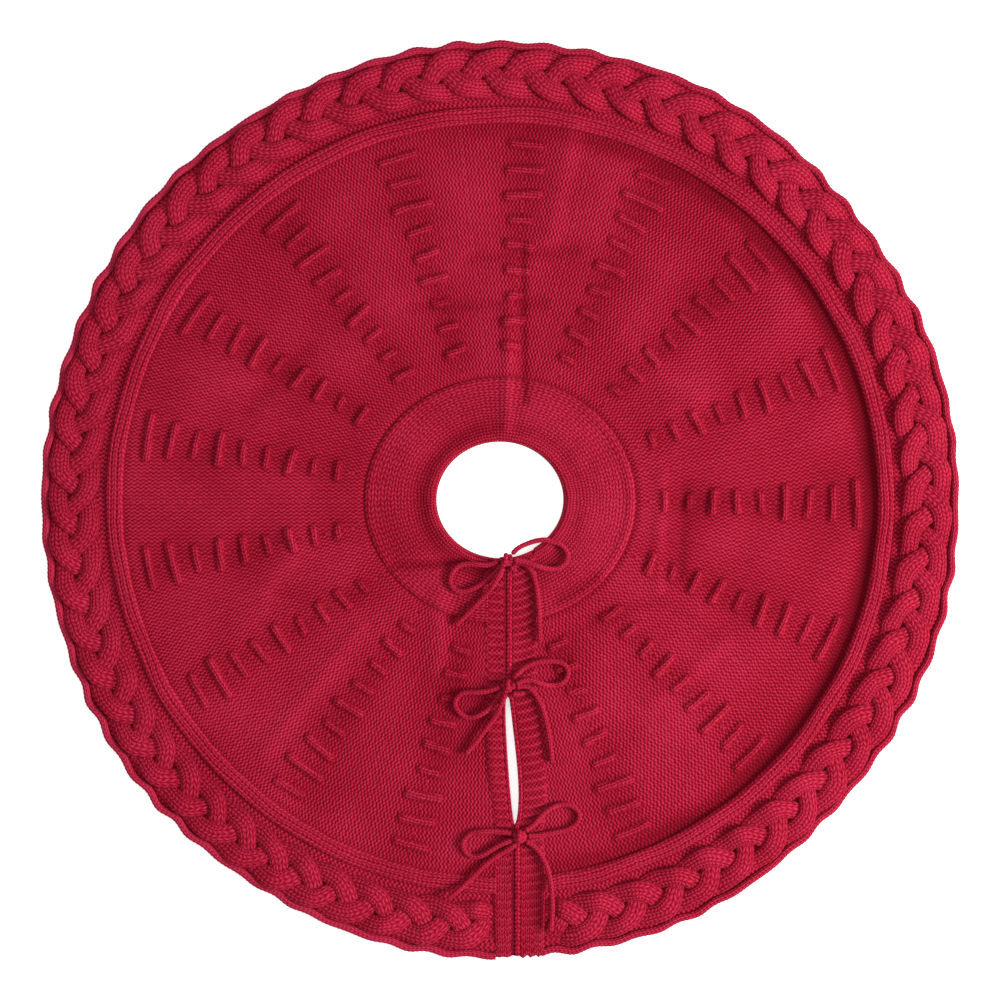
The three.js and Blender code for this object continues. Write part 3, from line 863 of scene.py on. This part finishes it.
for number in range(1, gore_count + 1):
    column = gore_edge(number - 0.5)
    low_cut = high_cut = plain_half
    if number == 1:
        low_cut = beside_slit(1, column, tucked_side["right"])
    if number == gore_count:
        high_cut = beside_slit(-1, column - 360, tucked_side["left"])
    cloth_mesh = whole_gore(gore_cloth(low_cut, high_cut), number in bending_gores)

    def gore_shape(wale, course, layer):
        low = course < 0
        outwards = wale / gore_wales
        cut = np.where(low, low_cut[0], high_cut[0])
        cut = cut + outwards * (np.where(low, low_cut[1], high_cut[1]) - cut)
        share = 1 - np.abs(course) / cut
        rows = plain_half[0] + outwards * (plain_half[1] - plain_half[0]) - np.abs(course)
        radius = collar_side + outwards * (panel_radius - collar_side)
        for _ in range(3):
            edge = np.where(low, gore_edge(number - 1), gore_edge(number))
            aim = edge
            if number == 1:
                edge = np.where(low, slit_angle(radius, 1, tucked_side["right"]), edge)
                aim = np.where(low, 0, aim)
            if number == gore_count:
                at_slit = 360 + slit_angle(radius, -1, tucked_side["left"])
                edge, aim = np.where(low, edge, at_slit), np.where(low, aim, 360)
            start = np.sin(np.radians(edge - aim))
            finish = np.sin(np.radians(column - aim))
            angle = aim + np.degrees(np.arcsin(start + share * (finish - start)))
            foot = oval(collar_side, collar_half_depth - collar_overlap, angle)
            radius = foot + outwards * (panel_radius - foot)
        x, y = polar(radius, angle)
        off = np.radians(angle - column) * radius
        half_length = dash_inner_half + dash_growth * outwards**2
        raised = np.zeros_like(wale)
        for first in dash_wales:
            odd = math.sin(7.1 * number + 3.7 * first)
            reach = half_length * (1 + 0.18 * odd)
            tilt = 0.35 * math.sin(2.3 * number + 1.9 * first) * off / reach
            across = np.clip((wale - first - 0.5 - tilt) / dash_half_wales, -1, 1)
            bar = np.cos(np.pi / 2 * across) ** 2 * (0.9 + 0.2 * odd)
            raised = np.maximum(raised, bar * (1 - ease(np.abs(off), reach - 0.006, reach + 0.004)))
        quilted = swell_at(off, 0, 1.15 * half_length) * ease(wale, 3, 6)
        sunk = quilted * (1 - ease(wale, 37, 40)) * (1 - np.minimum(raised, 1))
        dash = ease(raised, 0.3, 0.55)
        relief = (1 - dash) * purl_relief(wale, rows) + dash * plain_relief(wale, rows)
        beside = ease(wale, 0, 1.8) * (1 - 0.3 * ease(wale, gore_wales - 1.2, gore_wales))
        top = gore_top - 0.0018 + lie(x, y) + purl_height * relief
        slack = swell_at(radius, slack_radius, slack_reach)
        slack = slack * np.clip(0.25 + 0.75 * np.sin(np.radians(angle)), 0, 1)
        top = top + dash_height * raised - dash_sink * sunk - slack_depth * slack
        z = 0.0016 + (np.maximum(top, 0.0024) - 0.0016) * (0.3 + 0.7 * beside)
        # painted shade along the gore's sides, between and beside the dashes, and a painted shadow in
        # the sag inside the welt on the right, where the welt blocks the light from the right
        dash_edge = swell_at(raised, 0.2, 0.14) * (raised > 0.001)
        painted_shading = 0.3 * (1 - beside) + 0.2 * sunk + 0.3 * dash_edge + 0.85 * slack
        on_top = layer > 0.5
        painted_shading = np.where(on_top, painted_shading + sunk_shade(x, y), 0.0)
        return (x, y, np.where(on_top, z, 0.0)), (wale, rows), painted_shading, np.where(on_top, dash, 1.0)

    name = f"gore_{number:02d}"
    piece = set_piece("knit_" + name, cloth_mesh, purl_yarn, gore_shape)
    if number in bending_gores:
        hold(piece, bending_gores[number])
    elif number < flap_gores:
        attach(piece, "right_flap")
    elif number > gore_count - flap_gores + 1:
        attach(piece, "left_flap")
    else:
        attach(piece, "back")
    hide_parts(name)
    long = panel_radius - collar_half_depth
    wide = 2 * panel_radius * math.sin(math.radians(11.6))

# ---- double welt ----
# Three wales of plain knit that stand up in a ridge where the gores end, highest on the right.
# They are knitted in one with the purl cloth on both sides, and run round to the plackets.
welt_inner = 0.5012
welt_outer = 0.5248
welt_sway = 0.0032
welt_foot = 0.0034
welt_swell = 0.003  # how much higher the welt stands on the right, where it was pushed inwards
welt_groove = 0.0016  # how deep the lines between its wales are
welt_wales = 3
welt_course = 0.0062
welt_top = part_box("welt_back")[1].z


def ring_courses(start, finish, radius, pitch):
    """Courses in a ring's length."""
    degrees = (finish or 360) - (start or 0)
    return round(math.radians(degrees) * radius / pitch)


for place, (start, finish) in ring_lengths(seam_overrun["ring"]).items():
    courses = ring_courses(start, finish, welt_inner, welt_course)

    def welt_shape(wale, course, layer):
        share = wale / welt_wales
        radius = welt_inner + share * (welt_outer - welt_inner)
        angle = ring_angle(course / courses, radius, start, finish)
        turn = np.radians(angle)
        sway = 0.45 * np.sin(11 * turn) + 0.35 * np.sin(29 * turn + 0.7) + 0.3 * np.sin(17 * turn)
        x, y = polar(radius + welt_sway * sway * np.sin(np.pi * share), angle)
        ridge = rounded(share, 0.3) * rounded(1 - share, 0.2)
        lamp_side = ease(np.sin(turn), -0.2, 0.7)
        high = welt_top - welt_foot + 0.0008 * np.sin(23 * turn + 1) + welt_swell * lamp_side
        top = np.maximum(welt_foot + high * ridge + lie(x, y), 0.0026)
        groove = 0.5 + 0.5 * np.cos(math.tau * wale)
        top = top + 0.0018 * plain_relief(wale, course) - welt_groove * groove
        z = np.where(layer > 0.5, np.maximum(top, 0.002), 0.0)
        # painted shade on the welt's inner foot on the lamp's side, where its shadow falls, on its outer
        # foot most on the other side, and in the lines between its wales; the rest is painted a little
        # lighter
        outer_shade = (0.6 - 0.3 * lamp_side) * ease(share, 0.7, 0.95)
        foot_shade = outer_shade + 0.7 * lamp_side * (1 - ease(share, 0.0, 0.16))
        return (x, y, z), (wale, course), (1 - ridge) * foot_shade + 0.22 * groove - 0.1, 1.0

    piece = set_piece("knit_welt_" + place, knit_slab(welt_wales, courses), plain_yarn, welt_shape)
    hold(piece, place)
    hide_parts("welt_" + place)

# ---- cable border ----
# A band of purl knit that carries a thick plait of three plain strands, four wales wide each.
# The outer strand always crosses over towards the middle, now from one side, now from the other.
border_inner = 0.5238
border_outer = 0.6022
border_wales = 10
border_course = 0.0062
plait_middle = 0.5668
plait_swing = 0.0205  # a strand swings this far to each side of the plait's middle
strand_width = 0.0262
strand_thickness = 0.0128
strand_wales = 4
strand_course = 0.0056
strand_rise = 0.0041  # a strand climbs and dips this much where it crosses the others
plait_turns = 22  # times a strand goes through the plait round the whole skirt
swing_hold = 1.5  # how long a strand stays at each side before it swings back
tuck_reach = 0.034  # near a placket the strands sink into the border over this length
rim_sway = 0.0031
border_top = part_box("cable_border_back")[1].z


def plait_phase(angle):
    """Turns of the plait at an angle. The plait is knitted a little looser at the front."""
    drift = 0.09 * np.sin(np.radians(angle + 20)) + 0.05 * np.sin(np.radians(2 * angle + 70))
    return plait_turns * angle / 360 + drift


def rim_wave(angle):
    """How far the rim is pushed out by the cable's bulges."""
    turn = math.tau * plait_phase(angle)
    uneven = 0.55 + 0.45 * np.sin(np.radians(7 * angle + 30)) * np.sin(np.radians(13 * angle))
    long_wave = np.sin(np.radians(9 * angle + 200)) + np.sin(np.radians(5 * angle + 20))
    return rim_sway * (uneven * np.cos(3 * turn) + 0.45 * long_wave)


for place, (start, finish) in ring_lengths(seam_overrun["ring"]).items():
    courses = ring_courses(start, finish, border_inner, border_course)

    def border_shape(wale, course, layer):
        share = wale / border_wales
        radius = border_inner + share * (border_outer - border_inner)
        angle = ring_angle(course / courses, radius, start, finish)
        x, y = polar(radius + rim_wave(angle) * ease(radius, 0.58, 0.6), angle)
        under = ease(radius, 0.529, 0.54) * (1 - 0.8 * ease(radius, 0.586, 0.594))
        gutter = swell_at(radius, 0.6, 0.003)
        top = 0.0048 + lie(x, y) + purl_height * purl_relief(wale, course)
        top = np.maximum(top + 0.0026 * ease(radius, 0.582, 0.59) - 0.003 * gutter, 0.0022)
        # painted shade under the plait, in the gutter by the trim and along the border's inner edge
        painted_shading = 0.1 * under + 0.2 * gutter + 0.1 * (1 - ease(radius, 0.524, 0.53))
        on_top = layer > 0.5
        return (x, y, np.where(on_top, top, 0)), (wale, course), painted_shading, np.where(on_top, 0.0, 1.0)

    base = set_piece(
        "knit_border_" + place, knit_slab(border_wales, courses), purl_yarn, border_shape
    )
    hold(base, place)
    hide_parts("cable_border_" + place)

    long = ring_courses(start, finish, plait_middle, strand_course)
    for strand in range(3):

        def strand_shape(wale, course, layer):
            share = course / long
            middle_angle = ring_angle(share, np.full_like(share, plait_middle), start, finish)
            turn = math.tau * (plait_phase(middle_angle) + strand / 3)
            swing = np.tanh(swing_hold * np.cos(turn)) / math.tanh(swing_hold)
            swing = swing * (1 + 0.05 * np.sin(2.3 * turn + 1.1 * strand))
            slope = -plait_swing * swing_hold / math.tanh(swing_hold)
            slope = slope / np.cosh(swing_hold * np.cos(turn)) ** 2
            slope = slope * np.sin(turn) * math.tau * plait_turns / (math.tau * plait_middle)
            lean = np.arctan(slope)
            around = np.pi * (1 - wale / strand_wales)
            uneven = 1 + 0.06 * np.sin(1.7 * turn + 2.1 * strand) + 0.04 * np.sin(4.3 * turn)
            from_start = share * long * strand_course if start is None else 1.0
            from_end = (1 - share) * long * strand_course if finish is None else 1.0
            tucked = ease(np.minimum(from_start, from_end), 0.002, tuck_reach)
            across = strand_width / 2 * uneven * np.cos(around) * (0.8 + 0.2 * tucked)
            relief = plain_relief(wale, course) - 0.5
            puff = np.sin(around) ** 0.75 * np.where(layer > 0.5, 1, -0.55)
            swell = strand_thickness / 2 * (1 + 0.09 * np.sin(3.1 * turn + 1.3 * strand))
            lift = strand_rise * np.sin(2 * turn)
            z = border_top - 0.0072 + lift + swell * puff * (1 - 0.1 * np.abs(swing))
            z = z + np.where(layer > 0.5, 0.0016 * relief * np.sin(around) ** 0.5, 0)
            z = 0.002 + (z - 0.002) * (0.3 + 0.7 * tucked)
            along = -across * np.sin(lean)
            radius = plait_middle + plait_swing * swing + across * np.cos(lean)
            angle = middle_angle + np.degrees(along / plait_middle)
            x, y = polar(radius, angle)
            z = np.maximum(z + lie(x, y), 0.0009)
            # painted shade on each strand's flanks, where it dips under the others and where it sinks
            # near a placket, and painted light on its crown
            painted_shading = 0.25 * (1 - np.sin(around)) + 0.1 * (1 - ease(lift, -0.004, 0.0)) - 0.05
            painted_shading = painted_shading + 0.16 * (1 - tucked)
            return (x, y, z), (wale, course), painted_shading, 1.0

        piece = set_piece(
            f"plait_{place}_{strand + 1}", knit_slab(strand_wales, long), plain_yarn, strand_shape
        )
        hold(piece, place)

# ---- edge trim ----
# The rim is cast off in a thick chain that rolls up outside the cable and follows its bulges.
trim_outer = 0.61
chain_wales = 2
chain_course = 0.0058
trim_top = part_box("edge_trim_back")[1].z
chain_radius = 0.0052

for place, (start, finish) in ring_lengths(seam_overrun["ring"]).items():
    courses = ring_courses(start, finish, trim_outer, chain_course)

    def trim_shape(wale, course, layer):
        share = wale / chain_wales
        reach = np.full_like(share, trim_outer)
        angle = ring_angle(course / courses, reach, start, finish)
        around = np.pi * (1 - share)
        relief = plain_relief(wale, course)
        middle_radius = trim_outer - chain_radius + 0.0005 + rim_wave(angle)
        radius = middle_radius + chain_radius * np.cos(around) * (0.82 + 0.18 * relief)
        x, y = polar(radius, angle)
        high = trim_top - 0.0042 + lie(x, y)
        top = high + 0.0042 * np.sin(around) ** 0.7 * (0.74 + 0.45 * relief)
        z = np.where(layer > 0.5, top, 0.0006 + 0.0012 * (1 - np.sin(around)))
        # painted shade under the chain's roll, and painted light over the rest of it, strongest on the
        # left side
        away = ease(-np.sin(np.radians(angle)), -0.3, 0.7)
        return (x, y, z), (wale, course), 0.1 * (1 - np.sin(around)) - 0.2 - 0.3 * away, 1.0

    piece = set_piece("knit_trim_" + place, knit_slab(chain_wales, courses), plain_yarn, trim_shape)
    hold(piece, place)
    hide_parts("edge_trim_" + place)

# ---- plackets ----
# A band of ladder rib is picked up along each side of the slit and laid over the collar, the
# welt and the cable's ends. The right band is the wider one, and its end frills at the rim.
rib_wale = 0.0056
rib_course = 0.00575
placket_lap = 0.0008
placket_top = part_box("placket_right")[1].z
slit_edge_width = 0.0054

for hand, side in (("right", 1), ("left", -1)):
    wide = placket_far_side[hand] - slit_edge_width + placket_lap
    rib_wales = round(wide / rib_wale)
    courses = round((trim_outer - hole_half_depth) / rib_course)

    def placket_shape(wale, course, layer):
        share = wale / rib_wales
        offset = slit_edge_width - placket_lap + share * wide
        near = slit_shift(0.08) + side * offset
        first = hole_half_depth * np.sqrt(1 - (near / hole_half_width) ** 2)
        far_x = slit_shift(0.6) + side * offset
        frill = 0.0022 * np.cos(math.tau * offset / 0.0105) * (1 if side > 0 else 0.3)
        last = np.sqrt(trim_outer**2 - far_x**2) - 0.0008 + frill * ease(course / courses, 0.9, 1)
        distance = first + course / courses * (last - first)
        x = slit_shift(distance) + side * (slit_half_gap(distance) + offset)
        x = x + 0.0006 * np.sin(37 * distance + 2 * side) * share
        rung = 0.5 + 0.5 * np.cos(np.pi * (course - 0.1 * np.cos(math.tau * wale)))
        close_knit = ease(distance, 0.45, 0.49)
        rung = rung * (1 - 0.35 * close_knit)
        relief = 1.8 * rung + 0.4 * (1 - 0.6 * close_knit) * purl_relief(wale, course)
        outer = rounded(1 - share, 0.22 if side > 0 else 0.4)
        inner = rounded(share, 0.1)
        belly = 0.0011 * np.sin(np.pi * share) * np.sin(21 * distance + 0.6)
        stack = 0.0022 * ease(distance, 0.495, 0.51)
        end = rounded(course / courses, 0.012) * rounded(1 - course / courses, 0.012)
        top = placket_top - 0.003 + belly + stack + 0.0016 * relief
        top = 0.0012 + (top - 0.0012) * (0.3 + 0.7 * outer) * (0.55 + 0.45 * inner)
        z = np.where(layer > 0.5, top * (0.25 + 0.75 * end), 0)
        # painted shade at the band's edges and between its rungs, and painted light elsewhere, a little
        # more near the rim
        painted_shading = 0.1 * (1 - outer) + 0.2 * (1 - inner) + 0.35 * (1 - rung) - 0.12
        return (x, -distance, z), (wale, course), painted_shading - 0.06 * close_knit, 0.25 + 0.6 * close_knit

    piece = set_piece("knit_placket_" + hand, knit_slab(rib_wales, courses), purl_yarn, placket_shape)
    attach(piece, hand + "_flap")
    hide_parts("placket_" + hand)

# ---- slit edges ----
# Each placket is cast off in a chain along the slit. The right chain is full and bright and lies
# on the left one, which is drawn in under it.
edge_course = 0.0057
edge_wales = 1
slit_edge_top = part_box("slit_edge_right")[1].z
edge_gap = 0.0002
edge_lap = 0.0016  # the right chain lies this far over the left one where the slit is closed

for hand, side in (("right", 1), ("left", -1)):
    courses = round((trim_outer - hole_half_depth) / edge_course)
    wide = slit_edge_width + (0.0012 if side > 0 else 0.0)

    def slit_edge_shape(wale, course, layer):
        share = course / courses
        first, last = hole_half_depth - 0.0006, trim_outer - 0.003
        distance = first + share * (last - first)
        around = np.pi * (1 - wale)
        relief = plain_relief(wale, course)
        shut = 1 - ease(slit_half_gap(distance), 0.0004, 0.0014)
        from_slit = edge_gap + wide / 2 * (1 + np.cos(around) * (0.86 + 0.14 * relief))
        from_slit = from_slit - edge_lap * shut * side * (1 - wale if side > 0 else wale - 0.4)
        x = slit_shift(distance) + side * (slit_half_gap(distance) + from_slit)
        full = 1.0 if side > 0 else 0.72
        end = rounded(share, 0.006) * rounded(1 - share, 0.006)
        crown = np.sin(around) ** 0.6 * (0.86 + 0.22 * relief)
        stack = 0.0016 * ease(distance, 0.495, 0.51)
        top = 0.0014 + (slit_edge_top - 0.0008 + stack) * full * crown * end
        z = np.where(layer > 0.5, top, 0.0004)
        # painted shade on the chain's flanks
        return (x, -distance, z), (wale, course), 0.5 * (1 - np.sin(around)), 1.0

    piece = set_piece(
        "knit_slit_edge_" + hand, knit_slab(edge_wales, courses, cuts=5), cord_yarn, slit_edge_shape
    )
    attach(piece, hand + "_flap")
    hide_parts("slit_edge_" + hand)
